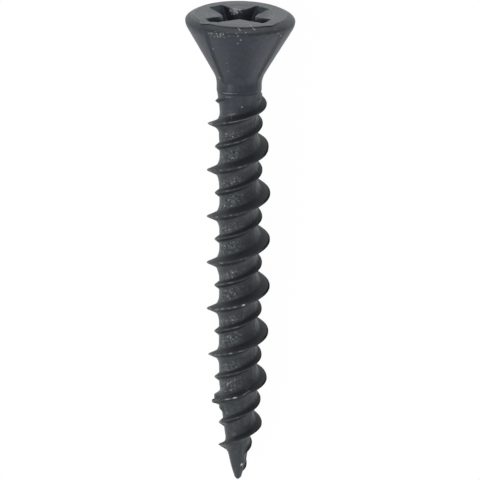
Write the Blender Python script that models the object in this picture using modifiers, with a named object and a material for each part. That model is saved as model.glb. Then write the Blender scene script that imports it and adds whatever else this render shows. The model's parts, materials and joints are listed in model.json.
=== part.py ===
"""Dense board screw, 3.9 x 30 mm, lying on its side.

The screw is one cold-headed and thread-rolled piece: a countersunk head with a cross recess and
two shallow pockets in its cone, a plain neck, and a shank with a high and a low thread that run
side by side to the point.

It is modelled upright first. Its axis is Z, the head's face is at z = 0 and the point is below it,
so a depth is a distance from the face towards the point. An azimuth is measured round the axis
from -Y, positive towards +X. At the end the screw is laid down on its rim and one thread crest,
with the head towards -X and the -Y side up.
"""
import math

import bmesh
import bpy
from mathutils import Matrix, Vector

MM = 0.001

# Overall
LENGTH = 30.0 * MM
STEPS = 36  # sides of the turned blank, and sections of a thread in one turn

# Head, from the face down
HEAD_DIAMETER = 6.70 * MM
FACE_DIAMETER = 5.72 * MM
LIP_HEIGHT = 0.05 * MM  # crisp edge round the face
RIM_DEPTH = 0.37 * MM  # face to the widest ring
RIM_HEIGHT = 0.04 * MM  # worn land of the widest ring
HEAD_ANGLE = math.radians(60)  # included angle of the cone under the head
CROWN_START = math.radians(52)  # part of an ellipse that rounds the edge above the rim
CROWN_END = math.radians(88)
CROWN_PARTS = 3

# Shallow pockets pressed into the cone, which leave two raised lands between them
POCKETS = 2
POCKET_AZIMUTH = math.radians(5)  # middle of the first pocket
POCKET_ANGLE = math.radians(90)
POCKET_START = 0.51 * MM
POCKET_DEPTH = 0.12 * MM
POCKET_PARTS = 9

# Neck
NECK_DIAMETER = 2.73 * MM
NECK_END = 4.70 * MM
NECK_FILLET = 1.40 * MM
FILLET_PARTS = 4
SHOULDER_LENGTH = 1.80 * MM  # step down from the neck to the thread root
SHOULDER_PARTS = 3

# Cross recess: four wings, and four rounded corners that stand in between them
WINGS = 4
WING_AZIMUTH = math.radians(45)
RECESS_SPAN = 4.30 * MM
WING_WIDTH = 1.00 * MM
CORNER_SPAN = 2.06 * MM
CORNER_ROUND = math.radians(15)
CORNER_DROP = 0.13 * MM  # how far the corner's sides lie behind its tip
FOOT_SPAN = 1.70 * MM
FOOT_WIDTH = 0.70 * MM
FOOT_CORNER_SPAN = 1.24 * MM
FOOT_DEPTH = 1.90 * MM
RECESS_DEPTH = 2.30 * MM
CUT_OVERRUN = 0.30 * MM  # how far a cutter stands proud of what it cuts

# Threads
ROOT_DIAMETER = 2.24 * MM
LEAD = 2.985 * MM
THREAD_START = 4.95 * MM
RUN_IN_POWER = 0.2
SAG_TURNS = 0.6  # where a sagging start has come back to the lead
ROOT_BITE = 0.05 * MM  # how deep a thread's foot is sunk into the core
CREST_LAND = 0.05 * MM
SEED_SHARE = 0.02  # size of the first and last section, hidden in the core

HIGH_DIAMETER = 3.90 * MM
HIGH_ANGLE = math.radians(50)
HIGH_AZIMUTH = math.radians(150)
HIGH_RUN_IN = 1.6  # turns
HIGH_SAG = 0.28 * MM  # how much deeper the thread starts than its lead would have it
HIGH_RISE = 0.13 * MM  # fillet at the foot of the high thread
HIGH_RUN = 0.55 * MM
HIGH_END_GAP = 0.55 * MM  # from the thread's last section to the point
HIGH_RUN_OUT = 1.25 * MM
THIN_START_GAP = 12.5 * MM  # the thread gets lower between these distances from the point
THIN_END_GAP = 4.0 * MM
THIN_SHARE = 0.3

LOW_DIAMETER = 2.86 * MM
LOW_ANGLE = math.radians(76)
LOW_AZIMUTH = math.radians(-27)
LOW_RUN_IN = 0.2  # turns
LOW_SAG = 0.0
LOW_END_GAP = 1.7 * MM
LOW_RUN_OUT = 1.0 * MM

# Point
POINT_LENGTH = 5.9 * MM
POINT_POWER = 0.55  # below 1 the point is fuller than a cone
POINT_PARTS = 8
POINT_CROWDING = 1.7  # above 1 the rings lie closer towards the point

SMOOTH_ANGLE = math.radians(30)
MERGE = 0.001 * MM

head_radius = HEAD_DIAMETER / 2
face_radius = FACE_DIAMETER / 2
neck_radius = NECK_DIAMETER / 2
root_radius = ROOT_DIAMETER / 2
cone_slope = math.tan(HEAD_ANGLE / 2)
cone_top = RIM_DEPTH + RIM_HEIGHT


def clear_scene():
    for item in list(bpy.data.objects):
        bpy.data.objects.remove(item, do_unlink=True)


def new_collection(name):
    collection = bpy.data.collections.new(name)
    bpy.context.scene.collection.children.link(collection)
    return collection


def coated_steel():
    """Carbon steel with a black phosphate coat."""
    material = bpy.data.materials.new("black_phosphated_steel")
    material.use_nodes = True
    shader = material.node_tree.nodes["Principled BSDF"]
    shader.inputs["Base Color"].default_value = (0.045, 0.050, 0.056, 1.0)
    shader.inputs["Roughness"].default_value = 0.5
    shader.inputs["Metallic"].default_value = 0.4
    return material


def place(azimuth, radius, depth):
    """The point at an azimuth, a distance from the axis and a depth below the face."""
    return Vector((radius * math.sin(azimuth), -radius * math.cos(azimuth), -depth))


def smooth_step(value):
    value = min(max(value, 0.0), 1.0)
    return value * value * (3 - 2 * value)


def add_object(name, mesh, collection):
    item = bpy.data.objects.new(name, mesh)
    collection.objects.link(item)
    return item


def turned(name, profile, collection):
    """A body turned about Z from (radius, depth) pairs, listed from the top down."""
    mesh = bpy.data.meshes.new(name)
    points = [place(math.radians(90), radius, depth) for radius, depth in profile]
    edges = [(i, i + 1) for i in range(len(points) - 1)]
    mesh.from_pydata(points, edges, [])
    body = add_object(name, mesh, collection)
    turn = body.modifiers.new("turn", "SCREW")
    turn.steps = STEPS
    turn.render_steps = STEPS
    turn.use_merge_vertices = True
    turn.merge_threshold = MERGE
    return body


def loft(name, rings, collection):
    """A closed body through a row of sections that have the same number of points."""
    form = bmesh.new()
    rows = [[form.verts.new(point) for point in ring] for ring in rings]
    count = len(rows[0])
    for row, following in zip(rows, rows[1:]):
        for i in range(count):
            j = (i + 1) % count
            form.faces.new((row[i], row[j], following[j], following[i]))
    form.faces.new(rows[0])
    form.faces.new(rows[-1])
    bmesh.ops.recalc_face_normals(form, faces=form.faces)
    mesh = bpy.data.meshes.new(name)
    form.to_mesh(mesh)
    form.free()
    return add_object(name, mesh, collection)


def combine(body, tool, operation):
    """Adds a Boolean modifier whose operand stays in the file as a hidden wire."""
    tool.display_type = "WIRE"
    tool.hide_render = True
    step = body.modifiers.new(tool.name, "BOOLEAN")
    step.operation = operation
    step.object = tool


def crown():
    """The rounded edge from the lip down to the widest ring."""
    points = []
    for i in range(CROWN_PARTS + 1):
        angle = CROWN_START + (CROWN_END - CROWN_START) * i / CROWN_PARTS
        out = math.sin(angle) - math.sin(CROWN_START)
        down = math.cos(CROWN_START) - math.cos(angle)
        out /= math.sin(CROWN_END) - math.sin(CROWN_START)
        down /= math.cos(CROWN_START) - math.cos(CROWN_END)
        radius = face_radius + (head_radius - face_radius) * out
        points.append((radius, LIP_HEIGHT + (RIM_DEPTH - LIP_HEIGHT) * down))
    return points


def neck_fillet():
    """The arc that takes the cone into the neck, from its upper to its lower tangent point."""
    meeting = cone_top + (head_radius - neck_radius) / cone_slope
    lower = meeting + NECK_FILLET * math.tan(HEAD_ANGLE / 4)
    points = []
    for i in range(FILLET_PARTS + 1):
        angle = HEAD_ANGLE / 2 * (1 - i / FILLET_PARTS)
        radius = neck_radius + NECK_FILLET * (1 - math.cos(angle))
        points.append((radius, lower - NECK_FILLET * math.sin(angle)))
    return points


def core_radius(depth):
    """The core without its threads, from the neck to the point."""
    if depth <= NECK_END:
        return neck_radius
    from_point = LENGTH - depth
    if from_point < POINT_LENGTH:
        return root_radius * (max(from_point, 0.0) / POINT_LENGTH) ** POINT_POWER
    share = min((depth - NECK_END) / SHOULDER_LENGTH, 1.0)
    return neck_radius - (neck_radius - root_radius) * math.sin(share * math.pi / 2)


def core_depths():
    """Where the core has a ring: at the shoulder's steps and, closer and closer, at the point."""
    for i in range(SHOULDER_PARTS + 1):
        yield NECK_END + SHOULDER_LENGTH * i / SHOULDER_PARTS
    for i in range(POINT_PARTS + 1):
        yield LENGTH - POINT_LENGTH * (1 - i / POINT_PARTS) ** POINT_CROWDING


def blank(collection):
    """The headed blank, whose facets lie half a step off so that one faces straight down."""
    profile = [(0.0, 0.0), (face_radius, 0.0)]
    profile += crown()
    profile.append((head_radius, cone_top))
    profile += neck_fillet()
    profile += [(core_radius(depth), depth) for depth in core_depths()]
    body = turned("screw_blank", profile, collection)
    body.data.transform(Matrix.Rotation(math.pi / STEPS, 4, "Z"))
    return body


def recess_outline(depth, span, width, corner_span):
    """One section of the cross recess: a wing's square end, then the corner that follows it."""
    reach = math.hypot(span / 2, width / 2)
    half_turn = math.atan2(width, span)
    points = []
    for i in range(WINGS):
        wing = WING_AZIMUTH + 2 * math.pi * i / WINGS
        corner = wing + math.pi / WINGS
        points.append(place(wing - half_turn, reach, depth))
        points.append(place(wing + half_turn, reach, depth))
        points.append(place(corner - CORNER_ROUND, corner_span / 2 + CORNER_DROP, depth))
        points.append(place(corner, corner_span / 2, depth))
        points.append(place(corner + CORNER_ROUND, corner_span / 2 + CORNER_DROP, depth))
    return points


def cross_recess(collection):
    """The driver recess: tapered wings that end in a blunt cone."""
    mouth = (RECESS_SPAN, WING_WIDTH, CORNER_SPAN)
    foot = (FOOT_SPAN, FOOT_WIDTH, FOOT_CORNER_SPAN)
    rings = [recess_outline(-CUT_OVERRUN, *mouth)]
    rings.append(recess_outline(0.0, *mouth))
    rings.append(recess_outline(FOOT_DEPTH, *foot))
    tip = Vector((0.0, 0.0, -RECESS_DEPTH))
    rings.append([tip.lerp(point, SEED_SHARE) for point in rings[-1]])
    return loft("cross_recess", rings, collection)


def pocket(number, collection):
    """A shallow pocket that follows the cone and runs out in the neck's fillet."""
    fillet = neck_fillet()
    top = head_radius - (POCKET_START - cone_top) * cone_slope - POCKET_DEPTH
    section = [(top, POCKET_START)]
    for i, (radius, depth) in enumerate(fillet):
        fade = 1 - i / (len(fillet) - 1)
        section.append((radius - POCKET_DEPTH * fade + ROOT_BITE * (1 - fade), depth))
    outside = head_radius + CUT_OVERRUN
    section += [(outside, fillet[-1][1]), (outside, POCKET_START)]
    middle = POCKET_AZIMUTH + 2 * math.pi * number / POCKETS
    rings = []
    for i in range(POCKET_PARTS + 1):
        azimuth = middle + POCKET_ANGLE * (i / POCKET_PARTS - 0.5)
        rings.append([place(azimuth, radius, depth) for radius, depth in section])
    return loft("head_pocket_%d" % (number + 1), rings, collection)


def thread(name, section, azimuth, run_in, sag, end, run_out, thinning, collection):
    """A ridge wound right-handed round the core.

    The section is half of the thread's profile, from crest to foot, as (height, half width) pairs.
    It is sunk a little into the core, and shrinks towards its own foot where the thread runs in,
    gets lower and runs out.
    """
    outline = section + [(h, -w) for h, w in reversed(section)]
    count = math.ceil((end - THREAD_START) / LEAD * STEPS)
    rings = []
    for i in range(count + 1):
        turns = i / STEPS
        depth = THREAD_START + LEAD * turns + sag * (1 - smooth_step(turns / SAG_TURNS))
        share = min(turns / run_in, 1.0) ** RUN_IN_POWER
        share *= 1 - THIN_SHARE * thinning * smooth_step(
            (depth - (LENGTH - THIN_START_GAP)) / (THIN_START_GAP - THIN_END_GAP)
        )
        share *= math.sqrt(min(max((end - depth) / run_out, 0.0), 1.0))
        share = max(share, SEED_SHARE)
        foot = core_radius(depth) - ROOT_BITE
        angle = azimuth - 2 * math.pi * turns
        ring = []
        for h, w in outline:
            ring.append(place(angle, foot + (h + ROOT_BITE) * share, depth + w * share))
        rings.append(ring)
    return loft(name, rings, collection)


def high_thread(collection):
    """The tall thread, which stands on a fillet that rises from the root."""
    height = (HIGH_DIAMETER - ROOT_DIAMETER) / 2
    flank = CREST_LAND / 2 + (height - HIGH_RISE) * math.tan(HIGH_ANGLE / 2)
    foot = flank + HIGH_RUN * (1 + ROOT_BITE / HIGH_RISE)
    section = [(height, CREST_LAND / 2), (HIGH_RISE, flank), (-ROOT_BITE, foot)]
    end = LENGTH - HIGH_END_GAP
    return thread("high_thread", section, HIGH_AZIMUTH, HIGH_RUN_IN, HIGH_SAG, end, HIGH_RUN_OUT, 1,
                  collection)


def low_thread(collection):
    """The low thread, which runs half a lead behind the tall one."""
    height = (LOW_DIAMETER - ROOT_DIAMETER) / 2
    foot = CREST_LAND / 2 + (height + ROOT_BITE) * math.tan(LOW_ANGLE / 2)
    section = [(height, CREST_LAND / 2), (-ROOT_BITE, foot)]
    end = LENGTH - LOW_END_GAP
    return thread("low_thread", section, LOW_AZIMUTH, LOW_RUN_IN, LOW_SAG, end, LOW_RUN_OUT, 0,
                  collection)


def finished(name, body, collection):
    """The body with its modifiers carried out, as one plain mesh with crisp edges."""
    graph = bpy.context.evaluated_depsgraph_get()
    mesh = bpy.data.meshes.new_from_object(body.evaluated_get(graph))
    mesh.name = name
    mesh.shade_smooth()
    mesh.set_sharp_from_angle(angle=SMOOTH_ANGLE)
    mesh.materials.clear()
    mesh.materials.append(coated_steel())
    return add_object(name, mesh, collection)


def lay_down(body):
    """Lays the upright body on its +Y side, on the head's rim and on one thread crest."""
    points = [vertex.co for vertex in body.data.vertices]
    rims = [point for point in points if point.z > -NECK_END and point.y > neck_radius]
    crests = [point for point in points if point.z < -NECK_END and point.y > 0]
    tilt = max(
        min(math.atan2(rim.y - crest.y, rim.z - crest.z) for crest in crests) for rim in rims
    )
    lying = Matrix(((0, 0, -1, 0), (1, 0, 0, 0), (0, -1, 0, 0), (0, 0, 0, 1)))
    turn = Matrix.Rotation(tilt, 4, "Y") @ lying
    corners = [turn @ point for point in points]
    low = Vector([min(corner[axis] for corner in corners) for axis in range(3)])
    high = Vector([max(corner[axis] for corner in corners) for axis in range(3)])
    middle = (low + high) / 2
    body.matrix_world = Matrix.Translation((-middle.x, -middle.y, -low.z)) @ turn


def build():
    clear_scene()
    parts = new_collection("dense_board_screw")
    tools = new_collection("forming_tools")
    body = blank(tools)
    body.display_type = "WIRE"
    body.hide_render = True
    combine(body, high_thread(tools), "UNION")
    combine(body, low_thread(tools), "UNION")
    combine(body, cross_recess(tools), "DIFFERENCE")
    for number in range(POCKETS):
        combine(body, pocket(number, tools), "DIFFERENCE")
    lay_down(finished("screw", body, parts))


build()
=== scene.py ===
"""Dense board screw, 3.9 x 30 mm: the dressed screw and the stage it lies on.

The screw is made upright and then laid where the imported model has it. Upright, its axis is Z, the
head's face is at z = 0 and the point is below it, so a depth is a distance from the face towards
the point. An azimuth is measured round the axis from -Y, positive towards +X. The -Y side ends up
on top, towards the camera.
"""
import json
import math

import bpy
import numpy as np
from mathutils import Matrix, Vector


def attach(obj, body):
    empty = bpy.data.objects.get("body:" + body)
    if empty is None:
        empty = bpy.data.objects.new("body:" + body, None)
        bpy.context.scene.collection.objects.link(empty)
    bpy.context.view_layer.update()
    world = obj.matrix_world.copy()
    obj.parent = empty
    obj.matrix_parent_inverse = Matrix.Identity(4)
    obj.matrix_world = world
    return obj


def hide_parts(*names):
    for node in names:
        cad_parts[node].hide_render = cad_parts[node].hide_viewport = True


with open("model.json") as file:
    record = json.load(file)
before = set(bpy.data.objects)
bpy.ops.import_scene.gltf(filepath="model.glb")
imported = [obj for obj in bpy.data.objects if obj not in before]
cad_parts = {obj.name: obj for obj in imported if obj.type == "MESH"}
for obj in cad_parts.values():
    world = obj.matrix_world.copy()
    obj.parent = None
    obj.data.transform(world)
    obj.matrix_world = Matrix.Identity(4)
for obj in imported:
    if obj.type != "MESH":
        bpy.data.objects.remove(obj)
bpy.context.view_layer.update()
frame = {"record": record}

bl_info = {
    "name": "Dense board screw",
    "version": (1, 0, 0),
    "blender": (4, 5, 0),
    "location": "View3D > Sidebar > Screw",
    "description": "A black countersunk screw for dense board, and the stage it lies on",
    "category": "Add Mesh",
}

MM = 0.001
COLUMNS = 144  # points round the screw, in every ring
ROWS_PER_LEAD = 60  # rings of the shank in one turn of the thread
MOUNT_RADIUS = 2.3 * MM  # distance of the head_face mount from the axis, at azimuth 0


# Settings

def linear(code):
    """An sRGB hex colour as linear RGBA."""
    parts = [int(code[i:i + 2], 16) / 255 for i in (0, 2, 4)]
    return [c / 12.92 if c <= 0.04045 else ((c + 0.055) / 1.055) ** 2.4 for c in parts] + [1.0]


def length_setting(name, description, millimetres):
    """A size that a user may change, given in mm."""
    return bpy.props.FloatProperty(
        name=name, description=description, default=millimetres * MM, unit="LENGTH")


def angle_setting(name, description, degrees):
    """An angle that a user may change, given in degrees."""
    return bpy.props.FloatProperty(
        name=name, description=description, default=math.radians(degrees), subtype="ANGLE")


def colour_setting(name, description, code):
    """A colour that a user may change, given in sRGB hex."""
    return bpy.props.FloatVectorProperty(
        name=name, description=description, default=linear(code), size=4, min=0.0, max=1.0,
        subtype="COLOR")


class HeadSizes(bpy.types.PropertyGroup):
    """The countersunk head and its cross recess."""
    head_diameter: length_setting("Head", "Diameter of the widest ring", 6.73)
    face_diameter: length_setting("Face", "Diameter of the flat face", 5.72)
    rim_depth: length_setting("Rim depth", "Face to the widest ring", 0.385)
    lip_height: length_setting("Lip", "Crisp edge round the face", 0.05)
    cone_angle: angle_setting("Cone", "Included angle under the head", 60)
    pocket_depth: length_setting("Pockets", "Depth of the pockets in the cone", 0.12)
    recess_span: length_setting("Recess span", "Across two opposite wings", 4.30)
    wing_width: length_setting("Wing width", "Width of one wing", 1.00)
    corner_span: length_setting("Corner span", "Between two opposite corners of the recess", 2.06)
    recess_depth: length_setting("Recess depth", "Face to the recess's floor", 2.30)


class ShankSizes(bpy.types.PropertyGroup):
    """The neck, the core and the two rolled threads."""
    length: length_setting("Length", "Face to point", 30.0)
    neck_diameter: length_setting("Neck", "Diameter of the plain neck", 2.77)
    root_diameter: length_setting("Root", "Diameter between the threads", 2.33)
    point_length: length_setting("Point", "Length of the tapered end", 5.9)
    lead: length_setting("Lead", "One turn of a thread", 2.985)
    thread_start: length_setting("Thread start", "Face to the first thread", 4.95)
    high_diameter: length_setting("High thread", "Diameter over the high thread", 3.90)
    high_angle: angle_setting("High flanks", "Angle between the high thread's flanks", 50)
    low_diameter: length_setting("Low thread", "Diameter over the low thread", 2.93)
    low_angle: angle_setting("Low flanks", "Angle between the low thread's flanks", 76)


class CoatSettings(bpy.types.PropertyGroup):
    """The black phosphate coat."""
    coat: colour_setting("Coat", "Sound coat", "333742")
    green: colour_setting("Second tone", "What the sound coat clouds into", "323736")
    thin: colour_setting("Thin coat", "Where the coat is thin", "43484c")
    # lighter than the coat: a painted reflection of the pale floor on the face
    face: colour_setting("Face", "The pressed face", "475154")
    # painted shade: on the flanks, on the front of the crown and in the folds' creases
    painted_shade: colour_setting("Flanks", "Dense coat on the pressed flanks", "1f1f1e")
    # painted shade on the lands on the right
    black: colour_setting("Lands", "Densest coat, on the lands on the right", "060606")
    # worn coat, and also the painted highlights and glints
    worn_and_highlight: colour_setting("Worn coat", "Rubbed edges and specks", "c4cacd")
    gleam: colour_setting("Gleam", "Tint of what the coat reflects", "eef5ff")
    roughness: bpy.props.FloatProperty(
        name="Roughness", description="Roughness of the sound coat", default=0.45, min=0.0,
        max=1.0, subtype="FACTOR")


class StageSettings(bpy.types.PropertyGroup):
    """The pale floor, the light and the camera."""
    floor: colour_setting("Floor", "Colour of the floor", "f2f2f2")
    world_light: bpy.props.FloatProperty(
        name="World", description="Strength of the light all round", default=0.42, min=0.0)
    camera_elevation: angle_setting(
        "Camera", "Camera above the plane across the screw's axis", 17.931)


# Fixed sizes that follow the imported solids

CROWN_START = math.radians(57)  # part of an ellipse that rounds the edge above the rim
CROWN_END = math.radians(88)
RIM_ROUND = 0.80 * MM  # radius of the edge between the widest ring and the cone
NECK_FILLET = 1.60 * MM
NECK_END = 4.70 * MM
NECK_CREASE = 4.75 * MM  # the line that the rolling dies leave round the neck
SHOULDER_LENGTH = 1.80 * MM
POINT_POWER = 0.55  # how full the point's side is: 1 is a straight cone
CORNER_ROUND = math.radians(15)  # a recess corner's rounding, to each side, and its height
CORNER_DROP = 0.13 * MM
CORNER_STEPS = 6  # points on half a corner
WING_STEPS = (7, 5, 5, 7)  # points on a wing's side, on the halves of its end and on its side
FOOT_SPAN = 1.70 * MM  # the recess at its foot, where its blunt floor begins
FOOT_WIDTH = 0.70 * MM
FOOT_CORNER = 1.24 * MM
FOOT_DEPTH = 1.90 * MM
EDGE_ROUND = 0.04 * MM  # rounding of the recess's mouth, along its wings and on its corners
CORNER_EDGE_ROUND = 0.06 * MM
CORNER_REACH = 1.75 * MM  # inside this the mouth's rounding grows towards that of the corners
CORNER_FADE = 0.65 * MM
DISH_RADIUS = 2.0 * MM  # the corners of the recess are pressed into a shallow dish inside this
DISH_FADE = 0.9 * MM
DISH_DEPTH = 0.02 * MM
SIDE_DISH_DEPTH = 0.09 * MM
DISH_STEP = 0.012 * MM
DISH_STEP_FADE = 0.3 * MM
DISH_GAP = 0.06 * MM  # the least from the mouth's rounding to the dish's edge
FACE_START = 0.04 * MM  # from there to the flat face
LIP_CREASE = 0.042 * MM  # how far the crease cuts in under the lip
ROOT_BITE = 0.05 * MM  # how far below the core's surface a flank is carried
CREST_LAND = 0.09 * MM
POCKET_START = 0.51 * MM
POCKET_LENGTH = 2.2 * MM  # from the pocket's top to where its walls' lower azimuth is given
SAG_TURNS = 0.6  # where a sagging start has come back to the lead

# Rings of the blank, from the middle of the recess's floor to the point
FLOOR_SHARES = (0.04, 0.3, 0.6, 0.85)
FLOOR_INSET = 0.97
WALL_SHARES = (0.0, 0.04, 0.12, 0.25, 0.4, 0.55, 0.7, 0.82, 0.92)
EDGE_STEPS = 5
MOUTH_WEAR_AND_HIGHLIGHT = [0.3, 1.2, 2.2, 2.4, 1.5, 0.5]  # on the rings of the rounded mouth: worn coat and a painted highlight
DISH_RINGS = 5
FACE_RINGS = 7
# How far out in mm, and how far down and how deep in the crease as shares of the lip's own
LIP_RINGS = ((0.012, 0.2, 0.0), (0.014, 0.6, 0.1), (0.004, 0.95, 0.8), (0.006, 1.0, 1.0),
             (0.016, 1.25, 0.5))
CROWN_STEPS = 12
RIM_RINGS = (0.0, 0.03, 0.06, 0.085)  # mm below the rim
POCKET_RINGS = (-0.02, 0.01, 0.04, 0.08, 0.14, 0.24)  # mm below the pockets' tops
CONE_STEPS = 13
FILLET_STEPS = 8
# Above the neck's crease and out from the neck, in mm
CREASE_RINGS = ((0.19, 0.0), (0.15, 0.020), (0.115, 0.036), (0.085, 0.030), (0.055, -0.06),
                (0.01, -0.085), (-0.03, -0.02))
# Above the point, in mm
TIP_RINGS = (0.42, 0.37, 0.32, 0.27, 0.22, 0.17, 0.125, 0.09, 0.06, 0.035, 0.015, 0.004)

# Azimuths in degrees, measured backwards, which is the way the columns run
POCKET_LEFT = (38.5, 43.6)  # the sharp wall, at the pocket's top and at its bottom
POCKET_RIGHT = 129.5  # the soft wall of the pocket behind, half a turn from the front one's
LEFT_WALL = 1.3
RIGHT_WALL = 5.0

# The wings from the front left one round to the front right one: how far each is turned in
# degrees, and its span and width as shares of the settings
WINGS = ((3.2, 1.03, 1.05), (3.6, 1.03, 1.08), (-1.2, 1.0, 1.05), (-4.6, 1.02, 0.95))
RECESS_SHIFT = -0.08 * MM  # the recess was punched a little off the middle, towards -X
LIP_LEFT = -57  # azimuths in degrees between which the face has a crisp lip, and its fading
LIP_RIGHT = 49
LIP_FADE = 8

# The threads: where they start round the screw, how they run in and out and how their feet rise.
# The high one gets thinner between two distances from the point.
HIGH = {"Crest Azimuth": math.radians(152), "Sag": 0.28 * MM, "Run In": 1.6, "Growth": 0.2,
        "Rise": 0.16 * MM, "Run": 0.60 * MM, "Run Out": 1.25 * MM, "Thin Share": 0.3}
LOW = {"Crest Azimuth": math.radians(-30), "Sag": 0.09 * MM, "Run In": 0.32, "Growth": 0.5,
       "Rise": 0.0, "Run": 0.3 * MM, "Run Out": 1.0 * MM, "Thin Share": 0.0}
HIGH_END_GAP = 0.55 * MM
LOW_END_GAP = 1.7 * MM
THIN_START_GAP = 12.5 * MM
THIN_END_GAP = 4.0 * MM


# Small helpers

def add_node(tree, kind, inputs=(), **settings):
    """Adds a node, sets its properties and fills or links its inputs; returns the node."""
    node = tree.nodes.new(kind)
    for name, value in settings.items():
        setattr(node, name, value)
    pairs = inputs.items() if isinstance(inputs, dict) else enumerate(inputs)
    for key, value in pairs:
        if isinstance(value, bpy.types.Node):
            value = next(socket for socket in value.outputs if socket.enabled)
        if isinstance(value, bpy.types.NodeSocket):
            tree.links.new(value, node.inputs[key])
        elif value is not None:
            node.inputs[key].default_value = value
    return node


# What the tables of steps call a node: its kind, its settings and the inputs that its terms go
# to. Any other word is a math node's operation, or a vector math node's after VECTOR, and a + at
# its end holds the result between 0 and 1.
WORDS = {
    "FADE": ("ShaderNodeMapRange", {"interpolation_type": "SMOOTHSTEP"}, range(5)),
    "RAMP": ("ShaderNodeMapRange", {"clamp": True}, range(5)),
    "MIX": ("ShaderNodeMix", {"data_type": "RGBA"}, (0, 6, 7)),  # a share and two colours
    "NOISE": ("ShaderNodeTexNoise", {},
              ("Vector", "Scale", "Detail", "Roughness", "Distortion")),
    "SEEDED NOISE": ("ShaderNodeTexNoise", {"noise_dimensions": "4D"},
                     ("Vector", "W", "Scale", "Detail", "Roughness")),
    "CELLS": ("ShaderNodeTexVoronoi", {}, ("Vector", "Scale")),
    "SQUARE CELLS": ("ShaderNodeTexVoronoi", {"distance": "MANHATTAN"}, ("Vector", "Scale")),
    "SCALE": ("ShaderNodeVectorMath", {"operation": "SCALE"}, (0, "Scale")),
}


def add_steps(tree, steps, value):
    """Adds a node for each step: a name, a word and terms. A term may be an earlier name."""
    for name, word, *terms in steps:
        kind, settings, keys = WORDS.get(word, ("ShaderNodeMath", {}, range(3)))
        if word.startswith("VECTOR "):
            kind, settings = "ShaderNodeVectorMath", {"operation": word.removeprefix("VECTOR ")}
        elif word not in WORDS:
            settings = {"operation": word.rstrip("+"), "use_clamp": word.endswith("+")}
        inputs = {key: value.get(term, term) for key, term in zip(keys, terms)}
        value[name] = add_node(tree, kind, inputs, **settings)


def step_group(name, kind, inputs, steps, outputs):
    """A node group that carries out a table of steps, with the kinds of its inputs given."""
    tree = bpy.data.node_groups.new(name, kind)
    for title, socket in inputs.items():
        tree.interface.new_socket(title, in_out="INPUT", socket_type="NodeSocket" + socket)
    for title in outputs:
        tree.interface.new_socket(title, in_out="OUTPUT", socket_type="NodeSocketFloat")
    given = add_node(tree, "NodeGroupInput").outputs
    value = {title: given[title] for title in inputs}
    add_steps(tree, steps, value)
    add_node(tree, "NodeGroupOutput", {title: value[step] for title, step in outputs.items()})
    return tree


def smooth_step(value):
    """Goes from 0 to 1 without a kink at either end."""
    value = np.clip(value, 0.0, 1.0)
    return value * value * (3 - 2 * value)


def link_object(name, data):
    """A new object in the scene."""
    item = bpy.data.objects.new(name, data)
    bpy.context.scene.collection.objects.link(item)
    return item


def mesh_points(mesh):
    """The mesh's points, a row of x, y and z for each."""
    points = np.empty(len(mesh.vertices) * 3, np.float32)
    mesh.vertices.foreach_get("co", points)
    return points.reshape(-1, 3)


def frame_matrix(x_axis, y_axis, z_axis, origin):
    """The matrix that takes the world's axes to these, at this origin."""
    rows = [(*axis, 0.0) for axis in (x_axis, y_axis, z_axis)] + [(*origin, 1.0)]
    return Matrix(rows).transposed()


def upright_to_row():
    """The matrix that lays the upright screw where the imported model's head_face mount says."""
    mount = next(m for m in frame["record"]["mounts"] if m["name"] == "head_face")
    axis = Vector(mount["axis"]).normalized()
    side = Vector((0.0, 1.0, 0.0))
    down = axis.cross(side).normalized()
    return frame_matrix(side, down, axis, Vector(mount["pos_m"]) + down * MOUNT_RADIUS)


# The headed blank, ring by ring

def ring(azimuth, radius, depth):
    """Points at azimuths, distances from the axis and depths below the face."""
    azimuth, radius, depth = np.broadcast_arrays(np.atleast_1d(azimuth), radius, depth)
    return np.stack([radius * np.sin(azimuth), -radius * np.cos(azimuth), -depth], axis=1)


def star(span, width, corner, drop):
    """A section of the cross recess: four wings, and four rounded corners between them."""
    points = []
    for i, (turn, reach, share) in enumerate(WINGS):
        middle = math.radians(45 + turn)
        end_angle = math.atan2(width * share, span * reach)
        end_reach = math.hypot(span * reach, width * share) / 2
        first, last = [], []
        for step in range(CORNER_STEPS):
            angle = CORNER_ROUND * step / CORNER_STEPS
            radius = corner / 2 + drop * (step / CORNER_STEPS) ** 1.5
            first.append((angle, radius))
            last.append((math.radians(90) - angle, radius))
        foot = corner / 2 + drop
        bends = [(CORNER_ROUND, foot), (middle - end_angle, end_reach),
                 (middle, span * reach / 2), (middle + end_angle, end_reach),
                 (math.radians(90) - CORNER_ROUND, foot)]
        flat = [(r * math.cos(a), r * math.sin(a)) for a, r in bends]
        for start, end, steps in zip(flat, flat[1:], WING_STEPS):
            for step in range(steps):
                x = start[0] + (end[0] - start[0]) * step / steps
                y = start[1] + (end[1] - start[1]) * step / steps
                first.append((math.atan2(y, x), math.hypot(x, y)))
        quarter = first + [(math.radians(90) - CORNER_ROUND, foot)] + last[:0:-1]
        points += [(-(a + math.radians(90 * i)), r) for a, r in quarter]
    angles, radii = np.array(points).T
    return np.stack([radii * np.sin(angles) + RECESS_SHIFT, -radii * np.cos(angles)], axis=1)


def outward(outline):
    """Unit normals of a closed outline, pointing away from the axis side."""
    along = np.roll(outline, -1, axis=0) - np.roll(outline, 1, axis=0)
    normal = np.stack([along[:, 1], -along[:, 0]], axis=1)
    normal /= np.linalg.norm(normal, axis=1)[:, None]
    turn = np.sign(np.sum(normal * outline))
    return normal * turn


def flat_ring(outline, depth):
    """An outline at a depth, or at one depth for each point."""
    depth = np.broadcast_to(depth, len(outline))
    return np.column_stack([outline, -depth])


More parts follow.
